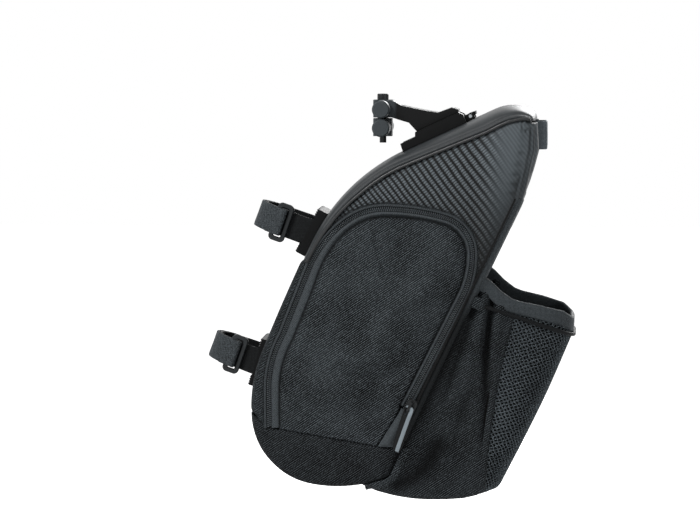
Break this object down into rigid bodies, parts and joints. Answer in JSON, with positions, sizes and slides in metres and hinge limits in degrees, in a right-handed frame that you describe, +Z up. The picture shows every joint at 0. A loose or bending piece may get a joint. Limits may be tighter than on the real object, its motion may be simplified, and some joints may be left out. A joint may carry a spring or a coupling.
{
  "type": "bicycle saddle bag",
  "caption": "Wedge-shaped bicycle saddle bag with a zipped side door, rear bottle pocket, two seat-post straps and a quick-release clamp for the saddle rails.",
  "frame": {"origin": "midway between the two saddle rails, at the middle of the rail clamp", "axes": "+X to the rear of the bicycle, +Z up, -Y to the rider's left, the side with the zipped door"},
  "size_m": [0.2809, 0.1323, 0.2996],
  "materials": {
    "ballistic_nylon": "matte",
    "carbon_vinyl": "satin",
    "moulded_lid": "satin",
    "piping": "gloss",
    "satin_patch": "satin",
    "mesh": "matte",
    "grosgrain": "matte",
    "webbing": "matte",
    "elastic": "matte",
    "zip_coil": "satin",
    "black_plastic": "matte",
    "pull_loop": "satin",
    "black_steel": "satin",
    "steel": "satin",
    "board": "matte"
  },
  "bodies": {
    "fixer": {"fixer_upper_jaw": "black_plastic"},
    "clamp_bolt": {"fixer_bolt": "black_steel"},
    "lower_jaw": {"fixer_lower_jaw": "black_plastic", "fixer_nut": "steel"},
    "bag": {"top_lid": "moulded_lid", "lid_piping_left": "piping", "lid_piping_right": "piping", "front_gusset": "ballistic_nylon", "front_stiffener": "board", "bottom_panel": "ballistic_nylon", "carbon_panel_left": "carbon_vinyl", "carbon_panel_right": "carbon_vinyl", "side_panel_right": "ballistic_nylon", "back_panel": "ballistic_nylon", "zip_garage": "satin_patch", "zip_chain_bag": "zip_coil", "pocket_gusset": "ballistic_nylon", "pocket_mesh": "mesh", "pocket_base": "ballistic_nylon", "pocket_binding": "grosgrain", "elastic_cord": "elastic", "cord_tab_left": "webbing", "cord_tab_right": "webbing", "tail_light_loop": "grosgrain", "strap_upper": "webbing", "strap_ring_upper": "black_plastic", "strap_pad_upper": "black_plastic", "strap_lower": "webbing", "strap_ring_lower": "black_plastic", "strap_pad_lower": "black_plastic", "bag_bracket": "black_plastic", "lever_pin": "steel", "lever_spring": "steel", "backing_plate": "board", "bracket_screws": "steel"},
    "release_lever": {"release_lever": "black_plastic"},
    "door": {"door_panel": "ballistic_nylon", "zip_chain_door": "zip_coil"},
    "zip_slider": {"zip_slider": "black_steel"},
    "zip_pull": {"zip_pull": "pull_loop"}
  },
  "joints": [
    {"name": "bolt_turn", "type": "hinge", "parent": "fixer", "child": "clamp_bolt", "pos_m": [0, 0, 0.0135], "axis": [0, 0, 1], "range_deg": [0, 1800]},
    {"name": "jaw_drop", "type": "slide", "parent": "fixer", "child": "lower_jaw", "axis": [0, 0, -1], "range_m": [0, 0.004]},
    {"name": "bag_slide", "type": "slide", "parent": "fixer", "child": "bag", "axis": [0.9089, 0, 0.417], "range_m": [0, 0.06]},
    {"name": "lever_turn", "type": "hinge", "parent": "bag", "child": "release_lever", "pos_m": [0.06565, 0, 0.00168], "axis": [0, -1, 0], "range_deg": [0, 6], "stiffness_Nm_per_rad": 0.02},
    {"name": "door_hinge", "type": "hinge", "parent": "bag", "child": "door", "pos_m": [-0.083, -0.04742, -0.2275], "axis": [0.9767, -0.1622, -0.1407], "range_deg": [0, 105]},
    {"name": "slider_travel", "type": "slide", "parent": "door", "child": "zip_slider", "axis": [0.4538, -0.0054, 0.8911], "range_m": [0, 0.075]},
    {"name": "pull_swing", "type": "hinge", "parent": "zip_slider", "child": "zip_pull", "pos_m": [0.02387, -0.06786, -0.20888], "axis": [-0.9428, 0.1677, 0.2882], "range_deg": [0, 120]}
  ],
  "couplings": [
    {"joint": "bolt_turn", "follows": "jaw_drop", "rad_per_m": 7854}
  ]
}
